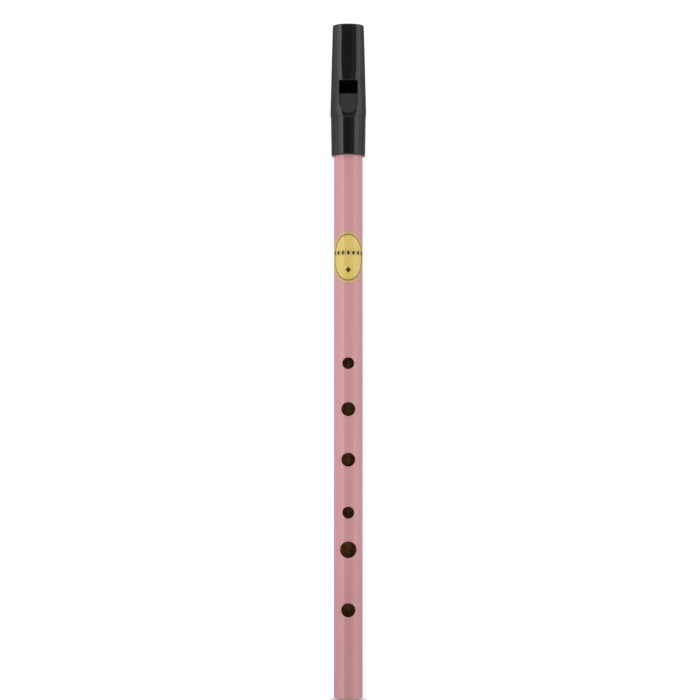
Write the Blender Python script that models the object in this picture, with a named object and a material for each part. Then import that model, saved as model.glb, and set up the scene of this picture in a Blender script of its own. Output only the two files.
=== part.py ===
"""Tin whistle in D: a lacquered brass tube with six finger holes, a paper label, and a
moulded plastic mouthpiece that is a sliding fit on the tube's upper end.

Metres, +Z up the tube, the origin at the middle of the tube's foot. The finger holes,
the window and the label face -Y.
"""

import math

import bmesh
import bpy

MM = 0.001

# Tube
TUBE_OUTER_R = 6.5 * MM
TUBE_INNER_R = 6.0 * MM
TUBE_LENGTH = 259.0 * MM
TUBE_EDGE = 0.08 * MM  # chamfer on the cut ends
TUBE_SEGMENTS = 72

# Finger holes, from the mouthpiece down: (height above the foot, diameter)
FINGER_HOLES = (
    (147.6 * MM, 5.0 * MM),
    (127.3 * MM, 6.0 * MM),
    (105.0 * MM, 6.0 * MM),
    (81.7 * MM, 5.0 * MM),
    (65.4 * MM, 7.2 * MM),
    (38.9 * MM, 6.1 * MM),
)
HOLE_SEGMENTS = 36

# Label: an ellipse wrapped round the front of the tube
LABEL_Z = 194.7 * MM
LABEL_HALF_HEIGHT = 11.3 * MM
LABEL_HALF_WIDTH = 8.0 * MM  # measured along the tube's surface
LABEL_GAP = 0.05 * MM
LABEL_THICKNESS = 0.15 * MM
LABEL_SEGMENTS = 48
LABEL_RINGS = 6

# Mouthpiece, outside
SKIRT_Z = 240.6 * MM  # lower edge of the skirt that holds the tube
RIDGE_Z = 258.6 * MM  # where the skirt meets the tapering upper part, at the sides
RIDGE_DIP = 0.9 * MM  # how much lower that is at the front
TIP_Z = 299.5 * MM
SKIRT_R = 7.5 * MM  # at its lower edge
SKIRT_TOP_R = 7.8 * MM  # at the step under the ridge
RIDGE_STEP = 0.65 * MM  # height of that step
RIDGE_R = 7.95 * MM
TIP_HALF_WIDTH = 6.93 * MM
TIP_FRONT = 6.6 * MM  # from the tube's axis to the front of the tip
TIP_BACK = 2.6 * MM  # from the tube's axis to the back of the tip
RIDGE_FRONT_DEPTH = 5.7 * MM  # from the front back to where the sides begin, over the ridge
TIP_FRONT_DEPTH = 4.4 * MM  # the same at the tip
RIDGE_BLEND = 2.2 * MM  # height over which the skirt's round section becomes the flatter one
SIDE_FLAT = 0.3 * MM  # least width of the straight sides between the front and the back
SIDE_CROWN = 0.05 * MM
SKIRT_FILLET = 0.6 * MM
TIP_FILLET = 0.6 * MM
HEAD_SEGMENTS = 72
HEAD_STATIONS = 18  # cross-sections between the ridge and the tip

# Mouthpiece, inside
SOCKET_CLEARANCE = 0.1 * MM
SHOULDER_Z = TUBE_LENGTH + 0.3 * MM  # the step that the tube's end stops at
CHAMBER_R = TUBE_INNER_R
WINDOW_HALF_WIDTH = 4.0 * MM
WINDOW_TOP_Z = 273.8 * MM
BLADE_Z = 268.3 * MM
BLADE_Y = -4.35 * MM
BLADE_THICKNESS = 0.15 * MM
BLADE_ROOT_Z = 261.5 * MM  # where the flat under the blade begins
RAMP_FOOT_Z = 258.9 * MM  # where the ramp runs out of the front
WINDWAY_FLOOR_Y = -3.85 * MM
WINDWAY_EXIT_ROOF_Y = -4.85 * MM
WINDWAY_ENTRY_ROOF_Y = -5.1 * MM
WINDWAY_ENTRY_ARCH = 0.5 * MM  # how far the roof comes down at the sides of the entry
WINDWAY_ROOF_POINTS = 13

# Fipple plug
PLUG_SEAT_WALL = 1.5 * MM  # of the mouthpiece round the plug
PLUG_CLEARANCE = 0.1 * MM
PLUG_WALL = 1.3 * MM
PLUG_RECESS_TOP_Z = 296.5 * MM
PLUG_SUNK = 0.2 * MM  # the plug's end lies this far inside the tip

REACH = 20.0 * MM  # how far a cutter runs past what it cuts
OVERLAP = 1.0 * MM  # by how much cutters that open into each other overlap

MATERIALS = {
    "pink_lacquer": ((0.55, 0.26, 0.29, 1.0), 0.32, 0.0),
    "gold_paper": ((0.72, 0.56, 0.16, 1.0), 0.45, 0.3),
    "black_plastic": ((0.012, 0.012, 0.013, 1.0), 0.22, 0.0),
    "plug_plastic": ((0.016, 0.016, 0.017, 1.0), 0.35, 0.0),
}


def clear_scene():
    for obj in list(bpy.data.objects):
        bpy.data.objects.remove(obj)


def material(name):
    colour, roughness, metallic = MATERIALS[name]
    made = bpy.data.materials.new(name)
    made.use_nodes = True
    shader = made.node_tree.nodes["Principled BSDF"]
    shader.inputs["Base Color"].default_value = colour
    shader.inputs["Roughness"].default_value = roughness
    shader.inputs["Metallic"].default_value = metallic
    made.diffuse_color = colour
    return made


def link(name, bm, finish=None):
    """Turns a bmesh into an object, with its normals facing out."""
    bmesh.ops.recalc_face_normals(bm, faces=bm.faces)
    mesh = bpy.data.meshes.new(name)
    bm.to_mesh(mesh)
    bm.free()
    mesh.shade_smooth()
    mesh.set_sharp_from_angle(angle=math.radians(30))
    obj = bpy.data.objects.new(name, mesh)
    bpy.context.scene.collection.objects.link(obj)
    if finish:
        mesh.materials.append(material(finish))
    return obj


def as_cutter(obj):
    obj.hide_render = True
    obj.display_type = "WIRE"
    return obj


def boolean(obj, operation, other):
    modifier = obj.modifiers.new(f"{operation.lower()}_{other.name}", "BOOLEAN")
    modifier.operation = operation
    modifier.object = other
    modifier.solver = "EXACT"


def bridge(bm, first, second):
    """A band of quads between two rings of the same length."""
    count = len(first)
    for i in range(count):
        j = (i + 1) % count
        bm.faces.new((first[i], first[j], second[j], second[i]))


def ring_stack(name, rings, finish=None, closed_loop=False):
    """A solid through rings of points: capped at both ends, or joined last to first."""
    bm = bmesh.new()
    loops = [[bm.verts.new(point) for point in ring] for ring in rings]
    for lower, upper in zip(loops, loops[1:]):
        bridge(bm, lower, upper)
    if closed_loop:
        bridge(bm, loops[-1], loops[0])
    else:
        bm.faces.new(loops[0])
        bm.faces.new(loops[-1])
    return link(name, bm, finish)


def circle(radius, z, segments):
    turn = 2 * math.pi / segments
    return [
        (radius * math.sin(i * turn), -radius * math.cos(i * turn), z)
        for i in range(segments)
    ]


def rod(name, radius, low, high, segments=HEAD_SEGMENTS):
    return ring_stack(name, [circle(radius, low, segments), circle(radius, high, segments)])


def prism(name, outline, half_width):
    """A solid with this (y, z) outline, from -half_width to half_width in x."""
    rings = [[(x, y, z) for y, z in outline] for x in (-half_width, half_width)]
    return ring_stack(name, rings)


def tube():
    """The brass tube, with both ends cut square and lightly chamfered."""
    middle = (TUBE_INNER_R + TUBE_OUTER_R) / 2
    half = (TUBE_OUTER_R - TUBE_INNER_R) / 2
    flat = half - TUBE_EDGE
    profile = (
        (middle - flat, 0.0),
        (middle + flat, 0.0),
        (TUBE_OUTER_R, TUBE_EDGE),
        (TUBE_OUTER_R, TUBE_LENGTH - TUBE_EDGE),
        (middle + flat, TUBE_LENGTH),
        (middle - flat, TUBE_LENGTH),
        (TUBE_INNER_R, TUBE_LENGTH - TUBE_EDGE),
        (TUBE_INNER_R, TUBE_EDGE),
    )
    rings = [circle(radius, z, TUBE_SEGMENTS) for radius, z in profile]
    made = ring_stack("tube", rings, "pink_lacquer", closed_loop=True)
    for number, (height, diameter) in enumerate(FINGER_HOLES, 1):
        boolean(made, "DIFFERENCE", finger_hole_drill(number, height, diameter / 2))
    return made


def finger_hole_drill(number, height, radius):
    """A round cutter along Y, through the tube's front wall only."""
    turn = 2 * math.pi / HOLE_SEGMENTS
    ends = (-TUBE_OUTER_R - REACH, -TUBE_INNER_R / 3)
    rings = [
        [
            (radius * math.sin(i * turn), y, height + radius * math.cos(i * turn))
            for i in range(HOLE_SEGMENTS)
        ]
        for y in ends
    ]
    return as_cutter(ring_stack(f"finger_hole_drill_{number}", rings))


def label():
    """An elliptical label wrapped round the tube, as two skins joined at the rim."""
    bm = bmesh.new()
    skins = []
    for radius in (TUBE_OUTER_R + LABEL_GAP, TUBE_OUTER_R + LABEL_GAP + LABEL_THICKNESS):
        rings = []
        for k in range(1, LABEL_RINGS + 1):
            share = k / LABEL_RINGS
            ring = []
            for i in range(LABEL_SEGMENTS):
                angle = 2 * math.pi * i / LABEL_SEGMENTS
                round_tube = share * LABEL_HALF_WIDTH * math.cos(angle) / TUBE_OUTER_R
                z = LABEL_Z + share * LABEL_HALF_HEIGHT * math.sin(angle)
                point = (radius * math.sin(round_tube), -radius * math.cos(round_tube), z)
                ring.append(bm.verts.new(point))
            rings.append(ring)
        middle = bm.verts.new((0.0, -radius, LABEL_Z))
        for i in range(LABEL_SEGMENTS):
            bm.faces.new((middle, rings[0][i], rings[0][(i + 1) % LABEL_SEGMENTS]))
        for inner, outer in zip(rings, rings[1:]):
            bridge(bm, inner, outer)
        skins.append(rings[-1])
    bridge(bm, *skins)
    return link("label", bm, "gold_paper")


def skirt_section(radius):
    """A round cross-section in head_section's terms."""
    return radius, -radius, radius, -SIDE_FLAT / 2, SIDE_FLAT / 2


def head_section(z):
    """The upper mouthpiece's cross-section at z, as (half width, front y, back y, y where the
    straight sides begin, y where they end)."""
    t = min(1.0, (z - RIDGE_Z) / (TIP_Z - RIDGE_Z))
    half_width = RIDGE_R + t * (TIP_HALF_WIDTH - RIDGE_R) + SIDE_CROWN * 4 * t * (1 - t)
    front = -RIDGE_R + t * (RIDGE_R - TIP_FRONT)
    depth = RIDGE_FRONT_DEPTH + t * (TIP_FRONT_DEPTH - RIDGE_FRONT_DEPTH)
    roundness = max(0.0, 1 - (z - RIDGE_Z) / RIDGE_BLEND) ** 2
    depth += roundness * (RIDGE_R - SIDE_FLAT / 2 - depth)
    scoop = t * t * (3 - 2 * t)
    back = RIDGE_R + scoop * (TIP_BACK - RIDGE_R)
    tip_side = TIP_FRONT_DEPTH - TIP_FRONT + SIDE_FLAT
    return half_width, front, back, front + depth, SIDE_FLAT / 2 + t * (tip_side - SIDE_FLAT / 2)


def oval(section, z, inset=0.0):
    """A ring of two half ellipses joined by straight sides, set in by inset."""
    half_width, front, back, side_front, side_back = section
    quarter = HEAD_SEGMENTS // 4
    points = []
    for middle, depth, first, last in (
        (side_front, side_front - front - inset, -quarter, quarter),
        (side_back, back - side_back - inset, quarter, 3 * quarter),
    ):
        for i in range(first, last + 1):
            angle = 2 * math.pi * i / HEAD_SEGMENTS
            x = (half_width - inset) * math.sin(angle)
            points.append((x, middle - depth * math.cos(angle), z))
    return points


def dipped(ring):
    """The ring with its front lowered, as the ridge is."""
    return [(x, y, z - RIDGE_DIP * max(0.0, -y / RIDGE_R) ** 2) for x, y, z in ring]


def head_rings(inset=0.0, top=TIP_Z):
    """The upper mouthpiece's cross-sections from the ridge to top, set in by inset."""
    heights = [RIDGE_Z + (top - RIDGE_Z) * k / HEAD_STATIONS for k in range(HEAD_STATIONS + 1)]
    rings = [oval(head_section(z), z, inset) for z in heights]
    return [dipped(rings[0])] + rings[1:]


def fillet(radius, steps=4):
    """(inset, rise) pairs round a quarter circle, from the side to the end."""
    for k in range(1, steps + 1):
        angle = math.pi / 2 * k / steps
        yield radius * (1 - math.cos(angle)), radius * math.sin(angle)


def mouthpiece():
    """The outer moulding: skirt, window, ramp and blade, and the seat for the plug."""
    rings = []
    lower = SKIRT_Z + SKIRT_FILLET
    for inset, rise in reversed(list(fillet(SKIRT_FILLET))):
        rings.append(oval(skirt_section(SKIRT_R), lower - rise, inset))
    rings.append(oval(skirt_section(SKIRT_R), lower))
    rings.append(dipped(oval(skirt_section(SKIRT_TOP_R), RIDGE_Z - RIDGE_STEP)))
    rings += head_rings(top=TIP_Z - TIP_FILLET)
    for inset, rise in fillet(TIP_FILLET):
        z = TIP_Z - TIP_FILLET + rise
        rings.append(oval(head_section(TIP_Z - TIP_FILLET), z, inset))
    made = ring_stack("mouthpiece", rings, "black_plastic")
    for cutter in (socket(), chamber(), window(), windway(), plug_seat()):
        boolean(made, "DIFFERENCE", as_cutter(cutter))
    return made


def socket():
    radius = TUBE_OUTER_R + SOCKET_CLEARANCE
    return rod("socket", radius, SKIRT_Z - REACH, SHOULDER_Z)


def chamber():
    """The bore above the tube's end, with a flat for the underside of the blade."""
    made = rod("chamber", CHAMBER_R, SHOULDER_Z - OVERLAP, WINDOW_TOP_Z)
    underside = BLADE_Y + BLADE_THICKNESS
    outline = (
        (underside, BLADE_ROOT_Z),
        (underside, WINDOW_TOP_Z + REACH),
        (underside - REACH, WINDOW_TOP_Z + REACH),
        (underside - REACH, BLADE_ROOT_Z),
    )
    boolean(made, "DIFFERENCE", as_cutter(prism("blade_block", outline, REACH)))
    return made


def window():
    """The opening under the windway, and the ramp that runs from its blade to the front."""
    ramp_front = head_section(RAMP_FOOT_Z)[1]
    slope = (BLADE_Z - RAMP_FOOT_Z) / (BLADE_Y - ramp_front)
    far = BLADE_Y - REACH
    outline = (
        (0.0, BLADE_Z),
        (BLADE_Y, BLADE_Z),
        (far, BLADE_Z + slope * (far - BLADE_Y)),
        (far, WINDOW_TOP_Z),
        (0.0, WINDOW_TOP_Z),
    )
    return prism("window", outline, WINDOW_HALF_WIDTH)


def windway():
    """The slot that the breath goes down: flat at the window, with an arched roof at the tip."""
    rings = []
    for z in (WINDOW_TOP_Z - OVERLAP, TIP_Z + OVERLAP):
        share = (z - WINDOW_TOP_Z) / (TIP_Z - WINDOW_TOP_Z)
        crown = WINDWAY_EXIT_ROOF_Y + share * (WINDWAY_ENTRY_ROOF_Y - WINDWAY_EXIT_ROOF_Y)
        ring = [(side * WINDOW_HALF_WIDTH, WINDWAY_FLOOR_Y + OVERLAP, z) for side in (1, -1)]
        for k in range(WINDWAY_ROOF_POINTS):
            across = 2 * k / (WINDWAY_ROOF_POINTS - 1) - 1
            y = crown + max(0.0, share) * WINDWAY_ENTRY_ARCH * across**2
            ring.append((across * WINDOW_HALF_WIDTH, y, z))
        rings.append(ring)
    return ring_stack("windway", rings)


def plug_shape(name, clearance, low, high, finish=None):
    """The space behind the windway: a rod with a flat, narrowed by the mouthpiece's wall."""
    rings = [circle(CHAMBER_R - clearance, z, HEAD_SEGMENTS) for z in (low, high)]
    made = ring_stack(name, rings, finish)
    inset = PLUG_SEAT_WALL + clearance
    inside = ring_stack(f"{name}_limit", head_rings(inset, TIP_Z + REACH / 4))
    boolean(made, "INTERSECT", as_cutter(inside))
    floor = WINDWAY_FLOOR_Y - PLUG_CLEARANCE + clearance
    outline = (
        (floor, low - REACH),
        (floor - REACH, low - REACH),
        (floor - REACH, high + REACH),
        (floor, high + REACH),
    )
    boolean(made, "DIFFERENCE", as_cutter(prism(f"{name}_flat", outline, REACH)))
    return made


def plug_seat():
    low, high = WINDOW_TOP_Z - OVERLAP, TIP_Z + OVERLAP
    return plug_shape("plug_seat", 0.0, low, high)


def fipple_plug():
    """The block that makes the windway's floor, moulded hollow from below."""
    high = TIP_Z - PLUG_SUNK
    made = plug_shape("fipple_plug", PLUG_CLEARANCE, WINDOW_TOP_Z, high, "plug_plastic")
    recess = plug_shape("plug_recess", PLUG_WALL, WINDOW_TOP_Z - REACH / 4, PLUG_RECESS_TOP_Z)
    boolean(made, "DIFFERENCE", as_cutter(recess))
    return made


def main():
    clear_scene()
    tube()
    label()
    mouthpiece()
    fipple_plug()


main()
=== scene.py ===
import math

import bmesh
import bpy
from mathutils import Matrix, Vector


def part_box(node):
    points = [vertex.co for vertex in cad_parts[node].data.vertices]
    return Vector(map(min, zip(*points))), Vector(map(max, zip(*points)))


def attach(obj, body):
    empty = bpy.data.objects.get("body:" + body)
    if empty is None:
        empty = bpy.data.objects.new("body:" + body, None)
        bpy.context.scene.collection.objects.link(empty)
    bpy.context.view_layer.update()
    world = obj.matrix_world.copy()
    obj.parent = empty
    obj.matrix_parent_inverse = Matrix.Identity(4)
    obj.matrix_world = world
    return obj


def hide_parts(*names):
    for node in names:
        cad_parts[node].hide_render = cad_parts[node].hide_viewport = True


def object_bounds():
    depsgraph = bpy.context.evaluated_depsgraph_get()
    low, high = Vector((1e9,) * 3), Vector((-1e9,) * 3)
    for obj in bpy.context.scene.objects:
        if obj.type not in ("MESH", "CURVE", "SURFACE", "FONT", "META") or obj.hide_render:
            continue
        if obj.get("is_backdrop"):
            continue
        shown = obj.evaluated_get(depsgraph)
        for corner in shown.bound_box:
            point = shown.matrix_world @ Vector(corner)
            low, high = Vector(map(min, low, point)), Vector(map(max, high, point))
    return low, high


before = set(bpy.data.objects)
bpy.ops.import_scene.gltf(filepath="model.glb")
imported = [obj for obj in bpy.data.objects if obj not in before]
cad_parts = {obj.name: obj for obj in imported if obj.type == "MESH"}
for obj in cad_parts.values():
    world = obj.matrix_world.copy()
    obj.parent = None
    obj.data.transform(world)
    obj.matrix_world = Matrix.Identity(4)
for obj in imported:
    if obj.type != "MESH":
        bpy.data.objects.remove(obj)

CAD_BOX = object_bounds()
MM = 0.001
SHARP_ANGLE = math.radians(35)  # edges that bend more than this are drawn hard

# Tube
TUBE_R = 6.5 * MM
BORE_R = 6.0 * MM
TUBE_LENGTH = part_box("tube")[1].z
TUBE_EDGE = 0.08 * MM
FINGER_HOLES = (  # (height above the foot, diameter)
    (147.6 * MM, 5.15 * MM),
    (127.3 * MM, 6.15 * MM),
    (105.0 * MM, 6.1 * MM),
    (81.7 * MM, 5.15 * MM),
    (65.4 * MM, 7.25 * MM),
    (38.9 * MM, 6.15 * MM),
)
RIM_ROLL = 0.14 * MM  # radius that a finger hole's outer edge is rounded to
RIM_ROLL_INSIDE = 0.04 * MM
ROLL_STEPS = 4
LACQUERED_STEPS = 2  # of the rounded edge, counted from the outside
PATCH_HALF = 5.2 * MM  # half the side of the square that is meshed round each hole
PATCH_SIDE = 18
PATCH_RINGS = 5
PATCH_GATHER = 1.6  # above 1, a square's rings crowd towards its hole
BACK_SEGMENTS = 84
FOOT_ROWS = (TUBE_EDGE, 0.4 * MM, 1.2 * MM, 4.0 * MM)  # heights above the foot
TOP_ROWS = (TUBE_EDGE, 1.2 * MM, 20.0 * MM)  # depths below the top
WEAR_REACH = 0.45 * MM  # how far from an edge the lacquer is rubbed
LACQUERED, BARE = 0, 1  # the tube's material slots

# Label
LABEL_Z = 194.7 * MM
LABEL_HALF_HEIGHT = 11.15 * MM
LABEL_HALF_WIDTH = 8.0 * MM
LABEL_GAP = 0.03 * MM
LABEL_THICKNESS = 0.14 * MM
LABEL_BEVEL = 0.04 * MM
LABEL_SEGMENTS = 128
LABEL_RINGS = 12
INK_THICKNESS = 0.015 * MM
INK_SUNK = 0.004 * MM
INK_STEP = 0.4 * MM  # between the cuts that let the ink bend round the tube
RING_INSET = 0.92 * MM
RING_HALF_THICKNESS = 0.41 * MM
RING_DASHES = 72
DASH_SHARE = 0.56  # how much of the ring is ink
ROW_HEIGHT = 2.05 * MM  # of the lozenges, from the label's middle
ROW_PITCH = 2.3 * MM
ROW_REACH = 3  # lozenges on each side of the middle one
ROW_LOZENGE = (0.84 * MM, 1.15 * MM)  # half width, half height
DOT = (0.24 * MM, 0.3 * MM)
DOT_RISE = 0.8 * MM  # above and below the row's middle
LOWER_LOZENGE = (1.15 * MM, 1.45 * MM)
LOWER_HEIGHT = -5.6 * MM

# Mouthpiece, outside
SKIRT_Z = 240.6 * MM
RIDGE_Z = 258.6 * MM
RIDGE_DIP = 0.9 * MM
TIP_Z = 299.5 * MM
SKIRT_R = 7.66 * MM
SKIRT_TOP_R = 7.95 * MM  # at the step under the ridge
SKIRT_TOP_FRONT = 7.82 * MM
RIDGE_STEP = 0.65 * MM  # height of that step
RIDGE_R = 8.09 * MM
TIP_HALF_WIDTH = 7.0 * MM
TIP_FRONT = 6.6 * MM
TIP_BACK = 2.6 * MM
RIDGE_FRONT_DEPTH = 5.7 * MM
TIP_FRONT_DEPTH = 4.4 * MM
RIDGE_BLEND = 2.2 * MM
RIDGE_FADE = 6.0 * MM  # the ridge's dip dies away over this height
SIDE_FLAT = 0.3 * MM
SIDE_CROWN = 0.05 * MM
SKIRT_FILLET = 0.6 * MM
TIP_FILLET = 0.6 * MM
FILLET_STEPS = 7
LIP_ROUND = 0.4 * MM  # the edges round the window
WINDOW_SWELL = 0.9 * MM  # how much rounder the front is just over the window
SWELL_HEIGHT = 4.5 * MM
FLASH_HEIGHT = 0.02 * MM  # the line that the mould's halves leave down both sides
FLASH_HALF_WIDTH = 0.08 * MM

# Mouthpiece, inside
SOCKET_R = 6.6 * MM
SOCKET_CHAMFER = 0.2 * MM
SHOULDER_Z = TUBE_LENGTH + 0.3 * MM
WINDOW_HALF_WIDTH = 4.0 * MM
WINDOW_TOP_Z = 273.8 * MM
BLADE_Z = 268.3 * MM
BLADE_Y = -4.35 * MM
BLADE_THICKNESS = 0.12 * MM
BLADE_ROOT_Z = 261.5 * MM
RAMP_FOOT_Z = 258.9 * MM
RAMP_ROUND_Z = 264.2 * MM  # where the ramp's sides begin to close in to its round foot
RAMP_END_Z = 258.5 * MM
RAMP_POINTS = 24
RAMP_NEAR = 0.002 * MM  # how near the ramp's plane a vertex has to be to count as on it
WALLS_FADE_Z = 262.0 * MM  # where the ramp's side walls run out
WINDWAY_FLOOR_Y = -3.85 * MM
WINDWAY_EXIT_ROOF_Y = -4.85 * MM
WINDWAY_ENTRY_ROOF_Y = -5.1 * MM
WINDWAY_ENTRY_ARCH = 0.5 * MM
WINDWAY_ROOF_POINTS = 17

# Fipple plug
PLUG_SEAT_WALL = 1.5 * MM
PLUG_CLEARANCE = 0.06 * MM
PLUG_WALL = 1.3 * MM
PLUG_RECESS_TOP_Z = 296.5 * MM
PLUG_SUNK = 0.2 * MM
LIMIT_STATIONS = 40  # cross-sections of the wall that narrows it

# Cutters
REACH = 20.0 * MM  # wider than the head
MARGIN = REACH / 4
SOCKET_MARGIN = REACH / 10
OVERLAP = 1.0 * MM  # how far a cutter runs on past where it has to end

# Mouthpiece's mesh
HEAD_SEGMENTS = 144
BACK_STEPS = 72
SKIRT_STEPS = 14
STEP_STATIONS = 8  # cross-sections of the step under the ridge
WINDOW_COLUMNS = 6
SIDE_COLUMNS = 14
LIP_COLUMNS = (-0.4, -0.1, 0.02, 0.1, 0.25, 0.45, 0.7, 1.0, 1.5)  # beside the window, in LIP_ROUNDs
LIP_ROWS = (-0.3, 0.02, 0.1, 0.25, 0.45, 0.7, 1.0, 1.4)  # above the window, in LIP_ROUNDs
RIDGE_ROWS = (0.04, 0.12, 0.25, 0.7)  # above the ridge, in RIDGE_BLENDs

# Painted brown reflection at the tip, in millimetres below it
PAINTED_REFLECTION_FROM = 0.8
PAINTED_REFLECTION_FULLY = 0.05

# Camera. Its lens and sensor are in millimetres
CAMERA_AT = (0.76 * MM, -670.0 * MM, 126.8 * MM)
CAMERA_PITCH = math.radians(2.3)
CAMERA_LENS = 77.14
CAMERA_SENSOR = 36.0
CAMERA_NEAR = 0.01

# Table top
FLOOR_R = 3.0
FLOOR_SEGMENTS = 96
FLOOR_GAP = 0.02 * MM
FLOOR_GLOW = 0.52
FLOOR_WHITE = (0.88, 0.92)
SHADE_MIDDLE_Y = -5.5 * MM
SHADE_HALF_WIDTH = 10.0 * MM
SHADE_HALF_DEPTH = 5.0 * MM
SHADE_FADE = (0.42, 1.12)  # where it starts and stops fading, in those half sizes
SHADE_DARKEST = 0.14

# Softboxes, as (name, azimuth, half angle, radiance), with the angles in degrees
SOFTBOXES = (
    ("softbox_left_inner", -41.0, 7.2, 1.95),
    ("softbox_left_outer", -55.4, 7.5, 1.40),
    ("softbox_right_fill", 26.0, 10.0, 0.13),
    ("softbox_right_inner", 46.6, 6.4, 1.38),
    ("softbox_right_outer", 60.0, 7.5, 0.98),
    ("softbox_back_left", -164.0, 9.0, 0.85),
    ("softbox_back_right", 161.0, 9.0, 0.65),
)
SOFTBOX_AWAY = 1.1
SOFTBOX_HEIGHT = 1.4
SOFTBOX_MIDDLE = 0.43

BACKDROP = 1.05  # brightness of the white behind the whistle

# Surroundings, as (place, brightness): places run from the camera's side to the far side, and
# from straight down to straight up
BELT = (
    (0.0, 0.14), (0.08, 0.14), (0.11, 0.20), (0.25, 0.28), (0.30, 1.35), (0.50, 1.05),
    (0.67, 0.52), (0.82, 0.40), (0.92, 0.38), (1.0, 0.50),
)
HEIGHTS = (
    (0.0, 1.0), (0.12, 0.95), (0.25, 0.50), (0.33, 0.0), (0.68, 0.0), (0.82, 0.90), (1.0, 0.90),
)


def smoothstep(low, high, x):
    t = min(1.0, max(0.0, (x - low) / (high - low)))
    return t * t * (3 - 2 * t)


def around(radius, angle, z):
    """A point at this distance from the whistle's axis, and this height. Angle 0 is the front."""
    return radius * math.sin(angle), -radius * math.cos(angle), z


# --- materials ---

class Nodes:
    """A node tree, with short ways to add to it."""

    def __init__(self, tree):
        self.tree = tree

    def feed(self, socket, value):
        """Links value to the socket if it is a socket too, or else sets it."""
        if isinstance(value, bpy.types.NodeSocket):
            self.tree.links.new(value, socket)
        else:
            socket.default_value = value

    def node(self, kind, inputs=None, **settings):
        made = self.tree.nodes.new(kind)
        for key, value in settings.items():
            setattr(made, key, value)
        for key, value in (inputs or {}).items():
            self.feed(made.inputs[key], value)
        return made

    def math(self, operation, first, second=0.0):
        return self.node("ShaderNodeMath", {0: first, 1: second}, operation=operation).outputs[0]

    def span(self, value, low, high, to_low, to_high):
        """value from low..high to to_low..to_high, held at the ends."""
        inputs = {"Value": value, "From Min": low, "From Max": high,
                  "To Min": to_low, "To Max": to_high}
        return self.node("ShaderNodeMapRange", inputs).outputs[0]

    def blend(self, share, first, second, **settings):
        made = self.node("ShaderNodeMix", data_type="RGBA", **settings)
        for name, value in (("Factor", share), ("A", first), ("B", second)):
            self.feed(next(s for s in made.inputs if s.name == name and s.enabled), value)
        return next(s for s in made.outputs if s.enabled)

    def greys(self, value, stops):
        """A colour ramp through (place, brightness) stops."""
        made = self.node("ShaderNodeValToRGB", {0: value})
        ends = made.color_ramp.elements
        for element, (place, brightness) in ((ends[0], stops[0]), (ends[1], stops[-1])):
            element.position = place
            element.color = (brightness, brightness, brightness, 1.0)
        for place, brightness in stops[1:-1]:
            made.color_ramp.elements.new(place).color = (brightness, brightness, brightness, 1.0)
        return made.outputs[0]


class Shader(Nodes):
    """A material's nodes. Its values are set on the Principled BSDF's sockets."""

    def __init__(self, name, **values):
        self.material = bpy.data.materials.new(name)
        self.material.use_nodes = True
        super().__init__(self.material.node_tree)
        self.surface = self.tree.nodes["Principled BSDF"]
        for socket, value in values.items():
            self.surface.inputs[socket.replace("_", " ")].default_value = value

    def place(self, scale=(1.0, 1.0, 1.0)):
        """Object coordinates in millimetres, stretched by scale."""
        coords = self.node("ShaderNodeTexCoord").outputs["Object"]
        stretch = {"Vector": coords, "Scale": [s / MM for s in scale]}
        return self.node("ShaderNodeMapping", stretch).outputs[0]

    def height(self):
        """Height above the foot in millimetres."""
        return self.node("ShaderNodeSeparateXYZ", {0: self.place()}).outputs["Z"]

    def noise(self, scale, detail=3.0, stretch=(1.0, 1.0, 1.0), roughness=0.5):
        """Noise from 0 to 1, with features about 1/scale millimetres across."""
        inputs = {"Vector": self.place(stretch), "Scale": scale, "Detail": detail,
                  "Roughness": roughness}
        return self.node("ShaderNodeTexNoise", inputs).outputs["Fac"]

    def bump(self, height, strength, distance):
        inputs = {"Height": height, "Strength": strength, "Distance": distance}
        self.wire("Normal", self.node("ShaderNodeBump", inputs).outputs[0])

    def wire(self, socket, value):
        self.tree.links.new(value, self.surface.inputs[socket])


def pink_lacquer():
    """Opaque pink lacquer: slightly uneven, with shade painted in that darkens it a little towards
    the foot, fine drawing lines below it, and rubbed thin at the edges."""
    s = Shader("pink_lacquer", IOR=1.5)
    pale, deep = (0.656, 0.317, 0.339, 1.0), (0.626, 0.295, 0.318, 1.0)
    clouds = s.span(s.noise(0.09, 2.0, (1.0, 1.0, 0.35)), 0.3, 0.7, 0.0, 1.0)
    colour = s.blend(clouds, deep, pale)
    height = s.height()
    # painted shade: the lacquer is darkened towards the foot, standing in for shade near the table
    painted_foot_shade = s.span(height, 0.0, 110.0, 0.14, 0.0)
    painted_foot_shade = s.math("MULTIPLY", painted_foot_shade, s.span(height, 40.0, 110.0, 1.0, 0.4))
    colour = s.blend(painted_foot_shade, colour, (0.0, 0.0, 0.0, 1.0))
    speck = s.span(s.noise(5.0, 1.0), 0.70, 0.78, 0.0, 0.12)
    colour = s.blend(speck, colour, (0.50, 0.20, 0.22, 1.0))
    wear = s.node("ShaderNodeAttribute", attribute_name="wear").outputs["Fac"]
    ragged = s.math("MULTIPLY", wear, s.span(s.noise(2.2, 4.0), 0.35, 0.75, 0.25, 1.0))
    worn = s.span(ragged, 0.55, 0.80, 0.0, 0.75)
    s.wire("Base Color", s.blend(worn, colour, (0.36, 0.17, 0.09, 1.0)))
    smudge = s.span(s.noise(0.16, 3.0), 0.35, 0.75, 0.17, 0.25)
    s.wire("Roughness", s.math("ADD", smudge, s.math("MULTIPLY", worn, 0.2)))
    lines = s.noise(3.0, 2.0, (1.0, 1.0, 0.02))
    peel = s.noise(1.1, 1.0)
    s.bump(s.math("ADD", lines, s.math("MULTIPLY", peel, 0.6)), 0.05, 0.05 * MM)
    return s.material


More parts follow.
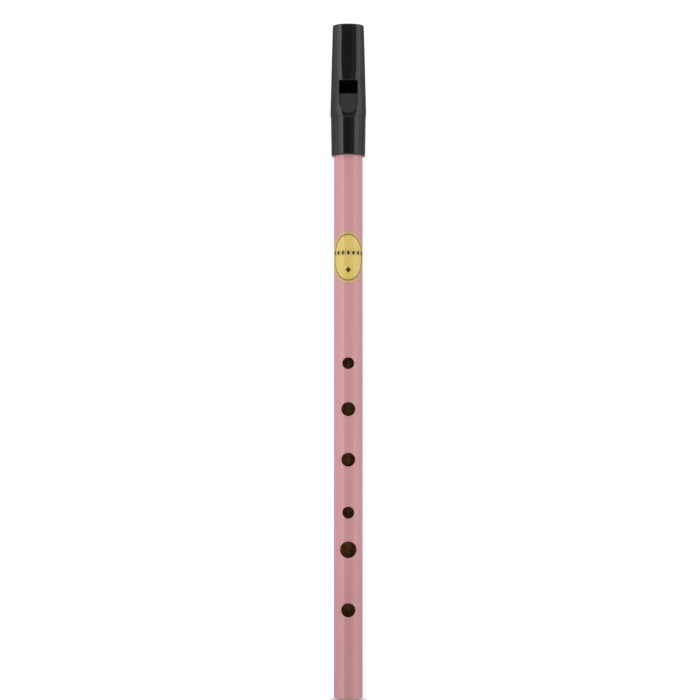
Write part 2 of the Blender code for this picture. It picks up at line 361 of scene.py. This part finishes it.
def bare_brass():
    """The unlacquered brass of the bore, the holes' walls and the cut ends, gone dull."""
    s = Shader("bare_brass", Metallic=1.0)
    clean, dull = (0.64, 0.40, 0.18, 1.0), (0.38, 0.23, 0.10, 1.0)
    tarnish = s.span(s.noise(0.35, 4.0), 0.35, 0.70, 0.0, 1.0)
    s.wire("Base Color", s.blend(tarnish, clean, dull))
    s.wire("Roughness", s.span(s.noise(0.9, 3.0), 0.3, 0.7, 0.32, 0.5))
    s.bump(s.noise(3.0, 2.0, (1.0, 1.0, 0.03)), 0.12, 0.05 * MM)
    return s.material


def black_plastic(name, roughness, grain, brown):
    """Moulded black plastic: nearly polished, with faint flow marks, dust and handling, and a warm
    brown reflection painted into its colour at the tip."""
    s = Shader(name, IOR=1.47)
    dark, pale = (0.0040, 0.0034, 0.0047, 1.0), (0.0072, 0.0062, 0.0080, 1.0)
    shade = s.span(s.noise(0.2, 3.0, (1.0, 1.0, 0.5)), 0.3, 0.7, 0.0, 1.0)
    colour = s.blend(shade, dark, pale)
    dust = s.span(s.noise(2.6, 3.0), 0.66, 0.80, 0.0, 0.05)
    colour = s.blend(dust, colour, (0.10, 0.095, 0.09, 1.0))
    tip = TIP_Z / MM
    # painted reflection: warm brown painted into the colour at the tip's rounded edge
    painted_tip_reflection = s.span(s.height(), tip - PAINTED_REFLECTION_FROM, tip - PAINTED_REFLECTION_FULLY, 0.0, brown)
    painted_tip_reflection = s.math("MULTIPLY", painted_tip_reflection, s.span(s.noise(1.2, 3.0), 0.3, 0.6, 0.6, 1.0))
    s.wire("Base Color", s.blend(painted_tip_reflection, colour, (0.105, 0.045, 0.028, 1.0)))
    s.wire("Roughness", s.span(s.noise(0.5, 4.0, (1.0, 1.0, 0.4)), 0.3, 0.75, *roughness))
    flow = s.noise(0.8, 2.0, (1.0, 1.0, 0.15))
    fine = s.math("MULTIPLY", s.noise(4.0, 1.0), grain)
    s.bump(s.math("ADD", flow, fine), 0.025, 0.05 * MM)
    return s.material


def gold_paper():
    """Gold-printed paper under a thin gloss varnish, with fibre in it."""
    s = Shader("gold_paper", IOR=1.5)
    deep, pale = (0.715, 0.542, 0.128, 1.0), (0.778, 0.600, 0.168, 1.0)
    fibre = s.span(s.noise(1.6, 5.0, (1.0, 1.0, 0.6), 0.65), 0.3, 0.7, 0.0, 1.0)
    colour = s.blend(fibre, deep, pale)
    age = s.span(s.noise(0.22, 2.0), 0.45, 0.75, 0.0, 0.3)
    s.wire("Base Color", s.blend(age, colour, (0.70, 0.50, 0.13, 1.0)))
    s.wire("Roughness", s.span(s.noise(0.8, 3.0), 0.3, 0.7, 0.20, 0.30))
    s.bump(s.noise(2.5, 4.0), 0.08, 0.04 * MM)
    return s.material


def printing_ink():
    """Brown-black ink that didn't take evenly."""
    s = Shader("printing_ink", IOR=1.45)
    full, thin = (0.030, 0.016, 0.010, 1.0), (0.085, 0.050, 0.020, 1.0)
    missed = s.span(s.noise(3.5, 3.0), 0.35, 0.75, 0.0, 1.0)
    s.wire("Base Color", s.blend(missed, full, thin))
    s.wire("Roughness", s.span(s.noise(2.0, 2.0), 0.3, 0.7, 0.35, 0.5))
    s.bump(s.noise(6.0, 2.0), 0.05, 0.02 * MM)
    return s.material


# --- mesh helpers ---

def smooth(mesh):
    mesh.shade_smooth()
    mesh.set_sharp_from_angle(angle=SHARP_ANGLE)


def finished(name, bm, materials=()):
    """The object made of bm, with its faces turned outwards. bm goes."""
    bmesh.ops.recalc_face_normals(bm, faces=bm.faces)
    mesh = bpy.data.meshes.new(name)
    bm.to_mesh(mesh)
    bm.free()
    for made in materials:
        mesh.materials.append(made)
    smooth(mesh)
    obj = bpy.data.objects.new(name, mesh)
    bpy.context.scene.collection.objects.link(obj)
    return obj


def bridge(bm, first, second, material=0):
    """A band of quads between two closed rings of the same length."""
    count = len(first)
    for i in range(count):
        j = (i + 1) % count
        face = bm.faces.new((first[i], first[j], second[j], second[i]))
        face.material_index = material


def ring_stack(name, rings, materials=()):
    """A solid through rings of points, capped at both ends."""
    bm = bmesh.new()
    loops = [[bm.verts.new(point) for point in ring] for ring in rings]
    for lower, upper in zip(loops, loops[1:]):
        bridge(bm, lower, upper)
    bm.faces.new(loops[0])
    bm.faces.new(loops[-1])
    return finished(name, bm, materials)


def circle(radius, z):
    turn = 2 * math.pi / HEAD_SEGMENTS
    return [around(radius, i * turn, z) for i in range(HEAD_SEGMENTS)]


def prism(name, outline, half_width):
    """A solid with this (y, z) outline, from -half_width to half_width in x."""
    return ring_stack(name, [[(x, y, z) for y, z in outline] for x in (-half_width, half_width)])


def slab(name, y, low, high):
    """A block in front of y, from low to high and wider than the head, to cut with."""
    return prism(name, ((y, low), (y - REACH, low), (y - REACH, high), (y, high)), REACH)


def cut(obj, cutter, operation="DIFFERENCE"):
    """The boolean, applied at once. The cutter goes."""
    modifier = obj.modifiers.new("cut", "BOOLEAN")
    modifier.operation = operation
    modifier.object = cutter
    modifier.solver = "EXACT"
    graph = bpy.context.evaluated_depsgraph_get()
    mesh = bpy.data.meshes.new_from_object(obj.evaluated_get(graph))
    obj.modifiers.clear()
    obj.data = mesh
    bpy.data.objects.remove(cutter)


# --- tube ---

def tube_angles():
    """The angles of the tube's columns: across the front squares, then round the back."""
    front = math.asin(PATCH_HALF / TUBE_R)
    angles = [-front + 2 * front * k / PATCH_SIDE for k in range(PATCH_SIDE + 1)]
    back = 2 * (math.pi - front)
    return angles + [front + back * k / BACK_SEGMENTS for k in range(1, BACK_SEGMENTS)]


def tube_heights():
    """The heights of the tube's rows: those by its ends and those of every hole's square."""
    heights = set(FOOT_ROWS) | {TUBE_LENGTH - depth for depth in TOP_ROWS}
    for centre, _ in FINGER_HOLES:
        for k in range(PATCH_SIDE + 1):
            heights.add(centre - PATCH_HALF + 2 * PATCH_HALF * k / PATCH_SIDE)
    return sorted(heights)


def hole_patch(bm, border, outer, centre, hole_r, radius, side):
    """Rings from a square's border to a hole's edge. Returns the last ring.

    outer is the same square's border on the outside, which sets the rays' directions, and
    side is 1 on the outside of the tube and -1 on the inside, where the edge rolls the
    other way."""
    roll = RIM_ROLL if side > 0 else RIM_ROLL_INSIDE
    shares = [(1 - k / PATCH_RINGS) ** PATCH_GATHER for k in range(1, PATCH_RINGS + 1)]
    steps = [(share, 0.0) for share in shares]
    steps += [(0.0, math.pi / 2 * k / ROLL_STEPS) for k in range(1, ROLL_STEPS + 1)]
    last = border
    for number, (share, turn) in enumerate(steps):
        reach = hole_r + roll * (1 - math.sin(turn))
        at = radius - side * roll * (1 - math.cos(turn))
        ring = []
        for vert, (ox, oz) in zip(border, outer):
            away = math.hypot(ox, oz - centre)
            x = share * vert.co.x + (1 - share) * reach * ox / away
            z = share * vert.co.z + (1 - share) * (centre + reach * (oz - centre) / away)
            ring.append(bm.verts.new((x, -math.sqrt(at * at - x * x), z)))
        lacquered = side > 0 and number < PATCH_RINGS + LACQUERED_STEPS
        bridge(bm, last, ring, LACQUERED if lacquered else BARE)
        last = ring
    return last


def square_rows(heights):
    """The numbers of the lowest and highest row of each hole's square."""
    feet = [centre - PATCH_HALF for centre, _ in FINGER_HOLES]
    lows = [min(range(len(heights)), key=lambda i: abs(heights[i] - foot)) for foot in feet]
    return [(low, low + PATCH_SIDE) for low in lows]


def wall_grid(bm, radius, angles, heights, squares):
    """Rows of vertices up the tube, with None inside the squares."""
    def in_square(row, column):
        return 0 < column < PATCH_SIDE and any(low < row < high for low, high in squares)

    return [
        [
            None if in_square(row, column) else bm.verts.new(around(radius, angle, z))
            for column, angle in enumerate(angles)
        ]
        for row, z in enumerate(heights)
    ]


def wall_faces(bm, grid, squares, material):
    """Faces between the rows, except in the squares."""
    count = len(grid[0])
    for row, (lower, upper) in enumerate(zip(grid, grid[1:])):
        passes_square = any(low <= row < high for low, high in squares)
        for column in range(PATCH_SIDE if passes_square else 0, count):
            right = (column + 1) % count
            face = bm.faces.new((lower[column], lower[right], upper[right], upper[column]))
            face.material_index = material


def square_border(grid, low, high):
    """The vertices round a square: along its foot, up its right side, back and down."""
    border = grid[low][:PATCH_SIDE]
    border += [grid[row][PATCH_SIDE] for row in range(low, high)]
    border += [grid[high][column] for column in range(PATCH_SIDE, 0, -1)]
    border += [grid[row][0] for row in range(high, low, -1)]
    return border


def tube_wall(bm, radius, side, angles, heights, outer_borders):
    """One skin of the tube. Returns its end rings, its holes' edges and its squares' borders."""
    squares = square_rows(heights)
    grid = wall_grid(bm, radius, angles, heights, squares)
    wall_faces(bm, grid, squares, LACQUERED if side > 0 else BARE)
    rims, borders = [], []
    for number, (centre, diameter) in enumerate(FINGER_HOLES):
        border = square_border(grid, *squares[number])
        places = [(vert.co.x, vert.co.z) for vert in border]
        outer = outer_borders[number] if outer_borders else places
        borders.append(places)
        rims.append(hole_patch(bm, border, outer, centre, diameter / 2, radius, side))
    return grid[0], grid[-1], rims, borders


def add_wear(obj):
    """A wear attribute: 1 at the holes' rims and the cut ends, 0 a little way off."""
    layer = obj.data.attributes.new("wear", "FLOAT", "POINT")
    for vert, item in zip(obj.data.vertices, layer.data):
        x, y, z = vert.co
        near = min(z, TUBE_LENGTH - z)
        if y < 0:
            for centre, diameter in FINGER_HOLES:
                near = min(near, abs(math.hypot(x, z - centre) - diameter / 2))
        item.value = 1.0 - smoothstep(0.0, WEAR_REACH, near)


def tube_end(bm, outer, inner, angles, level):
    """Closes one end between the tube's two skins, with its edges bevelled."""
    last = outer
    for radius in (TUBE_R - TUBE_EDGE, BORE_R + TUBE_EDGE):
        ring = [bm.verts.new(around(radius, angle, level)) for angle in angles]
        bridge(bm, last, ring, BARE)
        last = ring
    bridge(bm, last, inner, BARE)


def whistle_tube(materials):
    """Two skins, joined at the ends and in the finger holes."""
    bm = bmesh.new()
    angles, heights = tube_angles(), tube_heights()
    outside = tube_wall(bm, TUBE_R, 1, angles, heights, None)
    inside = tube_wall(bm, BORE_R, -1, angles, heights, outside[3])
    for outer_rim, inner_rim in zip(outside[2], inside[2]):
        bridge(bm, outer_rim, inner_rim, BARE)
    for end, level in ((0, 0.0), (1, TUBE_LENGTH)):
        tube_end(bm, outside[end], inside[end], angles, level)
    made = finished("whistle_tube", bm, materials)
    add_wear(made)
    return made


# --- label ---

def on_label(across, up, depth):
    """A place on the label, from its middle, at this depth over the tube's surface."""
    return around(TUBE_R + depth, across / TUBE_R, LABEL_Z + up)


def label_ring(bm, share, inset, level):
    """A ring at a share of the way out to the label's edge, which is set in by inset."""
    ring = []
    for i in range(LABEL_SEGMENTS):
        angle = 2 * math.pi * i / LABEL_SEGMENTS
        across = share * (LABEL_HALF_WIDTH - inset) * math.cos(angle)
        up = share * (LABEL_HALF_HEIGHT - inset) * math.sin(angle)
        ring.append(bm.verts.new(on_label(across, up, level)))
    return ring


def label_side(bm, rim, inset, level):
    """One of the label's two broad sides, as rings from its rim to a vertex in the middle."""
    last = rim
    for k in range(LABEL_RINGS - 1, 0, -1):
        ring = label_ring(bm, k / LABEL_RINGS, inset, level)
        bridge(bm, last, ring)
        last = ring
    middle = bm.verts.new(on_label(0.0, 0.0, level))
    for i in range(LABEL_SEGMENTS):
        bm.faces.new((middle, last[i], last[(i + 1) % LABEL_SEGMENTS]))


def label_paper(material):
    """An oval sheet bent round the tube, with its outer edge bevelled."""
    bm = bmesh.new()
    top = LABEL_GAP + LABEL_THICKNESS
    levels = ((0.0, LABEL_GAP), (0.0, top - LABEL_BEVEL), (LABEL_BEVEL, top))
    rims = [label_ring(bm, 1.0, *each) for each in levels]
    for lower, upper in zip(rims, rims[1:]):
        bridge(bm, lower, upper)
    for end in (0, -1):
        label_side(bm, rims[end], *levels[end])
    return finished("label_paper", bm, [material])


def lozenge(across, up, half_sizes):
    half_width, half_height = half_sizes
    return [
        (across - half_width, up),
        (across, up - half_height),
        (across + half_width, up),
        (across, up + half_height),
    ]


def border_dashes():
    """Short dashes, evenly spaced on an ellipse inside the label's edge."""
    half_width, half_height = LABEL_HALF_WIDTH - RING_INSET, LABEL_HALF_HEIGHT - RING_INSET
    step = 2 * math.pi / RING_DASHES
    for k in range(RING_DASHES):
        first, last = (k - DASH_SHARE / 2) * step, (k + DASH_SHARE / 2) * step
        corners = (
            (first, -RING_HALF_THICKNESS), (last, -RING_HALF_THICKNESS),
            (last, RING_HALF_THICKNESS), (first, RING_HALF_THICKNESS),
        )
        yield [
            ((half_width + off) * math.cos(angle), (half_height + off) * math.sin(angle))
            for angle, off in corners
        ]


def printed_shapes():
    """Every printed outline, as (across, up) points. None of them is a letter."""
    yield from border_dashes()
    yield lozenge(0.0, LOWER_HEIGHT, LOWER_LOZENGE)
    for k in range(-ROW_REACH, ROW_REACH + 1):
        yield lozenge(k * ROW_PITCH, ROW_HEIGHT, ROW_LOZENGE)
    for k in range(-ROW_REACH, ROW_REACH):
        for up in (-DOT_RISE, DOT_RISE):
            yield lozenge((k + 0.5) * ROW_PITCH, ROW_HEIGHT + up, DOT)


def thicken(bm, thickness):
    """Makes flat shapes at y = 0 into solids, with the faces in the same order each run."""
    flat, rims = bm.faces[:], [edge for edge in bm.edges if edge.is_boundary]
    raised = {vert: bm.verts.new((vert.co.x, thickness, vert.co.z)) for vert in bm.verts[:]}
    for face in flat:
        bm.faces.new([raised[vert] for vert in face.verts])
    for first, second in [edge.verts for edge in rims]:
        bm.faces.new((first, second, raised[second], raised[first]))


def label_print(material):
    """The ink, cut into narrow strips so that it bends round the tube with the paper."""
    bm = bmesh.new()
    for shape in printed_shapes():
        bm.faces.new([bm.verts.new((across, 0.0, up)) for across, up in shape])
    steps = round(LABEL_HALF_WIDTH / INK_STEP)
    for k in range(-steps, steps + 1):
        geometry = bm.verts[:] + bm.edges[:] + bm.faces[:]
        bmesh.ops.bisect_plane(bm, geom=geometry, dist=1e-9, plane_co=(k * INK_STEP, 0.0, 0.0),
                               plane_no=(1.0, 0.0, 0.0))
    thicken(bm, INK_THICKNESS)
    foot = LABEL_GAP + LABEL_THICKNESS - INK_SUNK
    for vert in bm.verts:
        vert.co = on_label(vert.co.x, vert.co.z, foot + vert.co.y)
    return finished("label_print", bm, [material])


# --- mouthpiece ---

def skirt_section(z):
    """The skirt's cross-section at z, in head_section's terms: it widens upwards, then steps
    out under the ridge."""
    share = (z - SKIRT_Z) / (RIDGE_Z - SKIRT_Z)
    step = smoothstep(RIDGE_Z - RIDGE_STEP, RIDGE_Z, z)
    radius = SKIRT_R + share * (SKIRT_TOP_R - SKIRT_R) + step * (RIDGE_R - SKIRT_TOP_R)
    front = SKIRT_R + share * (SKIRT_TOP_FRONT - SKIRT_R) + step * (RIDGE_R - SKIRT_TOP_FRONT)
    return radius, -front, radius, -SIDE_FLAT / 2, SIDE_FLAT / 2


def head_section(z):
    """The upper mouthpiece's cross-section at z, as (half width, front y, back y, y where the
    straight sides begin, y where they end)."""
    t = min(1.0, (z - RIDGE_Z) / (TIP_Z - RIDGE_Z))
    half_width = RIDGE_R + t * (TIP_HALF_WIDTH - RIDGE_R) + SIDE_CROWN * 4 * t * (1 - t)
    front = -RIDGE_R + t * (RIDGE_R - TIP_FRONT)
    depth = RIDGE_FRONT_DEPTH + t * (TIP_FRONT_DEPTH - RIDGE_FRONT_DEPTH)
    depth += WINDOW_SWELL * math.exp(-(((z - WINDOW_TOP_Z) / SWELL_HEIGHT) ** 2))
    roundness = max(0.0, 1 - (z - RIDGE_Z) / RIDGE_BLEND) ** 2
    depth += roundness * (RIDGE_R - SIDE_FLAT / 2 - depth)
    back = RIDGE_R + smoothstep(0.0, 1.0, t) * (TIP_BACK - RIDGE_R)
    tip_side = TIP_FRONT_DEPTH - TIP_FRONT + SIDE_FLAT
    return half_width, front, back, front + depth, SIDE_FLAT / 2 + t * (tip_side - SIDE_FLAT / 2)


def front_angles(half_width):
    """Angles across the front, with the columns near the window's edges at fixed widths."""
    fixed = [WINDOW_HALF_WIDTH * k / WINDOW_COLUMNS for k in range(WINDOW_COLUMNS)]
    fixed += [WINDOW_HALF_WIDTH + LIP_ROUND * share for share in LIP_COLUMNS]
    right = [math.asin(x / half_width) for x in fixed]
    last = right[-1]
    step = (math.pi / 2 - last) / SIDE_COLUMNS
    right += [last + step * k for k in range(1, SIDE_COLUMNS + 1)]
    return [-angle for angle in reversed(right[1:])] + right


def oval(section, z, inset=0.0):
    """A ring of two half ellipses joined by straight sides, set in by inset. A fine raised line,
    where the mould's halves met, runs up the middle of each side."""
    half_width, front, back, side_front, side_back = section
    wide = half_width - inset
    front_depth = side_front - front - inset
    back_depth = back - side_back - inset
    points = [
        (wide * math.sin(angle), side_front - front_depth * math.cos(angle), z)
        for angle in front_angles(half_width)
    ]
    middle = (side_front + side_back) / 2
    flash = [
        (wide, middle - FLASH_HALF_WIDTH, z),
        (wide + FLASH_HEIGHT, middle, z),
        (wide, middle + FLASH_HALF_WIDTH, z),
    ]
    points += flash
    for k in range(BACK_STEPS + 1):
        angle = math.pi / 2 + math.pi * k / BACK_STEPS
        points.append((wide * math.sin(angle), side_back - back_depth * math.cos(angle), z))
    return points + [(-x, y, z) for x, y, z in reversed(flash)]


def lip_drop(x, y, z):
    """How far the outside is rounded down beside the window's edges."""
    if y > 0:
        return 0.0
    aside = max(0.0, abs(x) - WINDOW_HALF_WIDTH)
    above = max(0.0, z - WINDOW_TOP_Z)
    away = math.hypot(aside, above)
    if away >= LIP_ROUND:
        return 0.0
    drop = LIP_ROUND - math.sqrt(LIP_ROUND**2 - (LIP_ROUND - away) ** 2)
    return drop * smoothstep(WALLS_FADE_Z, BLADE_Z, z)


def dressed_ring(section, z, dip):
    """A section with the window's rounded edge, lower at the front by dip."""
    return [
        (x, y + lip_drop(x, y, z), z - dip * max(0.0, -y / RIDGE_R) ** 2)
        for x, y, _ in oval(section, z)
    ]


def fillet(radius):
    """(inset, rise) pairs round a quarter circle, from the side to the end."""
    for k in range(1, FILLET_STEPS + 1):
        angle = math.pi / 2 * k / FILLET_STEPS
        yield radius * (1 - math.cos(angle)), radius * math.sin(angle)


def head_heights():
    """Where the sections above the ridge are: every millimetre, and close by the window's top."""
    top = TIP_Z - TIP_FILLET
    steps = round((top - RIDGE_Z) / MM)
    heights = [RIDGE_Z + (top - RIDGE_Z) * k / steps for k in range(1, steps + 1)]
    heights += [WINDOW_TOP_Z + LIP_ROUND * share for share in LIP_ROWS]
    heights += [RIDGE_Z + RIDGE_BLEND * share for share in RIDGE_ROWS]
    return sorted(heights)


def head_blank(materials):
    """The mouthpiece's outside as a solid."""
    lower = SKIRT_Z + SKIRT_FILLET
    rings = [
        oval(skirt_section(lower), lower - rise, inset)
        for inset, rise in reversed(list(fillet(SKIRT_FILLET)))
    ]
    step_foot = RIDGE_Z - RIDGE_STEP
    heights = [lower + (step_foot - lower) * k / SKIRT_STEPS for k in range(SKIRT_STEPS + 1)]
    heights += [step_foot + RIDGE_STEP * k / STEP_STATIONS for k in range(1, STEP_STATIONS + 1)]
    for z in heights:
        dip = RIDGE_DIP * smoothstep(RIDGE_Z - RIDGE_FADE, RIDGE_Z - RIDGE_STEP, z)
        rings.append(dressed_ring(skirt_section(z), z, dip))
    for z in head_heights():
        dip = RIDGE_DIP * (1 - smoothstep(RIDGE_Z, RIDGE_Z + RIDGE_FADE, z))
        rings.append(dressed_ring(head_section(z), z, dip))
    top = TIP_Z - TIP_FILLET
    for inset, rise in fillet(TIP_FILLET):
        rings.append(oval(head_section(top), top + rise, inset))
    return ring_stack("head_shell", rings, materials)


def socket_cutter():
    """The socket that the tube slides in, with a chamfered mouth."""
    rings = [
        circle(SOCKET_R + SOCKET_CHAMFER + SOCKET_MARGIN, SKIRT_Z - SOCKET_MARGIN),
        circle(SOCKET_R, SKIRT_Z + SOCKET_CHAMFER),
        circle(SOCKET_R, SHOULDER_Z),
    ]
    return ring_stack("socket_cutter", rings)


def chamber_cutter():
    """The bore above the tube, up to the window's top, less the blade's underside."""
    heights = (SHOULDER_Z - OVERLAP, WINDOW_TOP_Z)
    made = ring_stack("chamber_cutter", [circle(BORE_R, z) for z in heights])
    underside = BLADE_Y + BLADE_THICKNESS
    cut(made, slab("blade_block", underside, BLADE_ROOT_Z, WINDOW_TOP_Z + REACH))
    return made


def ramp_slope():
    """How far the ramp rises for each unit it goes back."""
    return (BLADE_Z - RAMP_FOOT_Z) / (BLADE_Y - head_section(RAMP_FOOT_Z)[1])


def window_cutter():
    """The window and the ramp below it, whose sides close in to a round foot."""
    slope = ramp_slope()
    far = BLADE_Y - REACH
    outline = (
        (0.0, BLADE_Z),
        (BLADE_Y, BLADE_Z),
        (far, BLADE_Z + slope * (far - BLADE_Y)),
        (far, WINDOW_TOP_Z),
        (0.0, WINDOW_TOP_Z),
    )
    made = prism("window_cutter", outline, REACH)
    turns = [math.pi * k / RAMP_POINTS for k in range(RAMP_POINTS + 1)]
    foot = [
        (WINDOW_HALF_WIDTH * math.cos(a), RAMP_ROUND_Z - (RAMP_ROUND_Z - RAMP_END_Z) * math.sin(a))
        for a in turns
    ]
    top = WINDOW_TOP_Z + OVERLAP
    sides = [(-WINDOW_HALF_WIDTH, top), (WINDOW_HALF_WIDTH, top)]
    rings = [[(x, y, z) for x, z in foot + sides] for y in (-REACH, OVERLAP)]
    cut(made, ring_stack("ramp_sides", rings), "INTERSECT")
    return made


def crease_ramp(obj):
    """A hard edge round the ramp, which meets the outside at too flat an angle to get one."""
    slope = ramp_slope()
    length = math.hypot(1.0, slope)

    def off_ramp(vert):
        return abs(vert.co.z - BLADE_Z - slope * (vert.co.y - BLADE_Y)) / length

    bm = bmesh.new()
    bm.from_mesh(obj.data)
    on_ramp = {f for f in bm.faces if max(off_ramp(v) for v in f.verts) < RAMP_NEAR}
    for edge in bm.edges:
        if len(on_ramp.intersection(edge.link_faces)) == 1:
            edge.smooth = False
    bm.to_mesh(obj.data)
    bm.free()


def windway_cutter():
    """The slot from the tip to the window, whose roof is arched at the tip."""
    rings = []
    for z in (WINDOW_TOP_Z - OVERLAP, TIP_Z + OVERLAP):
        share = (z - WINDOW_TOP_Z) / (TIP_Z - WINDOW_TOP_Z)
        crown = WINDWAY_EXIT_ROOF_Y + share * (WINDWAY_ENTRY_ROOF_Y - WINDWAY_EXIT_ROOF_Y)
        ring = [(side * WINDOW_HALF_WIDTH, WINDWAY_FLOOR_Y + OVERLAP, z) for side in (1, -1)]
        for k in range(WINDWAY_ROOF_POINTS):
            across = 2 * k / (WINDWAY_ROOF_POINTS - 1) - 1
            y = crown + max(0.0, share) * WINDWAY_ENTRY_ARCH * across**2
            ring.append((across * WINDOW_HALF_WIDTH, y, z))
        rings.append(ring)
    return ring_stack("windway_cutter", rings)


def plug_shape(name, clearance, low, high, materials=()):
    """The space behind the windway: a rod with a flat, narrowed by the mouthpiece's wall."""
    made = ring_stack(name, [circle(BORE_R - clearance, z) for z in (low, high)], materials)
    inset = PLUG_SEAT_WALL + clearance
    tall = TIP_Z + MARGIN - RIDGE_Z
    heights = [RIDGE_Z + tall * k / LIMIT_STATIONS for k in range(LIMIT_STATIONS + 1)]
    limit = ring_stack(f"{name}_limit", [oval(head_section(z), z, inset) for z in heights])
    cut(made, limit, "INTERSECT")
    floor = WINDWAY_FLOOR_Y - PLUG_CLEARANCE + clearance
    cut(made, slab(f"{name}_flat", floor, low - REACH, high + REACH))
    return made


def head_shell(material):
    """The mouthpiece: its outside, less everything that is open inside it."""
    made = head_blank([material])
    seat = plug_shape("plug_seat", 0.0, WINDOW_TOP_Z - OVERLAP, TIP_Z + OVERLAP)
    for cutter in (socket_cutter(), chamber_cutter(), window_cutter(), windway_cutter(), seat):
        cut(made, cutter)
    smooth(made.data)
    crease_ramp(made)
    return made


def windway_plug(material):
    """The block that closes the tip behind the windway, hollow from below."""
    high = TIP_Z - PLUG_SUNK
    made = plug_shape("windway_plug", PLUG_CLEARANCE, WINDOW_TOP_Z, high, [material])
    recess = plug_shape("plug_recess", PLUG_WALL, WINDOW_TOP_Z - MARGIN, PLUG_RECESS_TOP_Z)
    cut(made, recess)
    smooth(made.data)
    return made


# --- stage ---

def camera():
    made = bpy.data.objects.new("camera", bpy.data.cameras.new("camera"))
    bpy.context.scene.collection.objects.link(made)
    made.location = CAMERA_AT
    made.rotation_euler = (math.pi / 2 + CAMERA_PITCH, 0.0, 0.0)
    made.data.lens = CAMERA_LENS
    made.data.sensor_width = CAMERA_SENSOR
    made.data.clip_start = CAMERA_NEAR
    bpy.context.scene.camera = made


def softbox(name, azimuth, half_angle, radiance):
    """A tall soft light that faces the whistle and isn't seen itself. Azimuth 0 is the front."""
    light = bpy.data.lights.new(name, "AREA")
    light.shape = "RECTANGLE"
    light.size = 2 * SOFTBOX_AWAY * math.tan(math.radians(half_angle))
    light.size_y = SOFTBOX_HEIGHT
    light.energy = 4 * light.size * light.size_y * radiance
    made = bpy.data.objects.new(name, light)
    bpy.context.scene.collection.objects.link(made)
    angle = math.radians(azimuth)
    made.location = around(SOFTBOX_AWAY, angle, SOFTBOX_MIDDLE)
    made.rotation_euler = (math.pi / 2, 0.0, angle)
    made.visible_camera = False


def studio_world():
    """A white backdrop, and grey surroundings for what the whistle mirrors and is lit by."""
    world = bpy.data.worlds.new("studio")
    world.use_nodes = True
    world.node_tree.nodes.clear()
    bpy.context.scene.world = world
    s = Nodes(world.node_tree)

    def place(way):
        """From -1..1 to 0..1."""
        return s.math("ADD", s.math("MULTIPLY", way, 0.5), 0.5)

    coords = s.node("ShaderNodeTexCoord").outputs["Generated"]
    x, y, z = s.node("ShaderNodeSeparateXYZ", {0: coords}).outputs
    aside = s.math("SQRT", s.math("ADD", s.math("MULTIPLY", x, x), s.math("MULTIPLY", y, y)))
    ahead = s.math("DIVIDE", y, s.math("MAXIMUM", aside, 0.001))
    belt, heights = s.greys(place(ahead), BELT), s.greys(place(z), HEIGHTS)
    dim = s.node("ShaderNodeBackground", {"Color": s.blend(1.0, belt, heights, blend_type="LIGHTEN")})
    white = s.node("ShaderNodeBackground", {"Color": (1.0, 1.0, 1.0, 1.0), "Strength": BACKDROP})
    seen = s.node("ShaderNodeLightPath").outputs["Is Camera Ray"]
    mix = s.node("ShaderNodeMixShader", {0: seen, 1: dim.outputs[0], 2: white.outputs[0]})
    s.node("ShaderNodeOutputWorld", {"Surface": mix.outputs[0]})


def table_white():
    """White that glows a little, with a soft shade under the foot. From below it is clear."""
    s = Shader("table_white")
    moved = s.node("ShaderNodeMapping", {
        "Vector": s.node("ShaderNodeTexCoord").outputs["Object"],
        "Location": (0.0, -SHADE_MIDDLE_Y / SHADE_HALF_DEPTH, 0.0),
        "Scale": (1 / SHADE_HALF_WIDTH, 1 / SHADE_HALF_DEPTH, 0.0),
    }).outputs[0]
    away = s.node("ShaderNodeVectorMath", {0: moved}, operation="LENGTH").outputs["Value"]
    shade = s.span(away, *SHADE_FADE, SHADE_DARKEST, 1.0)
    white = s.math("MULTIPLY", shade, s.span(s.noise(0.01, 2.0), 0.3, 0.7, *FLOOR_WHITE))
    diffuse = s.node("ShaderNodeBsdfDiffuse", {"Color": white})
    glow = s.node("ShaderNodeEmission", {"Strength": s.math("MULTIPLY", shade, FLOOR_GLOW)})
    lit = s.node("ShaderNodeAddShader", {0: diffuse.outputs[0], 1: glow.outputs[0]})
    clear = s.node("ShaderNodeBsdfTransparent")
    below = s.node("ShaderNodeNewGeometry").outputs["Backfacing"]
    mix = s.node("ShaderNodeMixShader", {0: below, 1: lit.outputs[0], 2: clear.outputs[0]})
    s.feed(s.tree.nodes["Material Output"].inputs["Surface"], mix.outputs[0])
    return s.material


def studio_floor():
    """A round table top."""
    bm = bmesh.new()
    bmesh.ops.create_circle(bm, cap_ends=True, segments=FLOOR_SEGMENTS, radius=FLOOR_R)
    floor = finished("table_top", bm, [table_white()])
    floor.location.z = -FLOOR_GAP
    floor.visible_glossy = False
    floor.visible_diffuse = False
    floor.visible_shadow = False
    floor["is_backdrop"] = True


# --- the whistle ---

def whistle():
    """Every piece, with its body, the CAD node that it replaces and its material slot."""
    head_black = black_plastic("black_plastic", (0.10, 0.16), grain=0.3, brown=0.5)
    plug_black = black_plastic("plug_plastic", (0.2, 0.32), grain=0.8, brown=0.1)
    return (
        (whistle_tube([pink_lacquer(), bare_brass()]), "tube", "tube", "pink_lacquer"),
        (label_paper(gold_paper()), "tube", "label", "gold_paper"),
        (label_print(printing_ink()), "tube", None, "gold_paper"),
        (head_shell(head_black), "head", "mouthpiece", "black_plastic"),
        (windway_plug(plug_black), "head", "fipple_plug", "plug_plastic"),
    )


def main():
    for piece, body, node, slot in whistle():
        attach(piece, body)
        if node:
            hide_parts(node)
    camera()
    studio_world()
    for name, azimuth, half_angle, radiance in SOFTBOXES:
        softbox(name, azimuth, half_angle, radiance)
    studio_floor()
    view = bpy.context.scene.view_settings
    view.view_transform = "Standard"
    view.look = "None"
    boxes = [[list(corner) for corner in box] for box in (CAD_BOX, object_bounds())]


main()
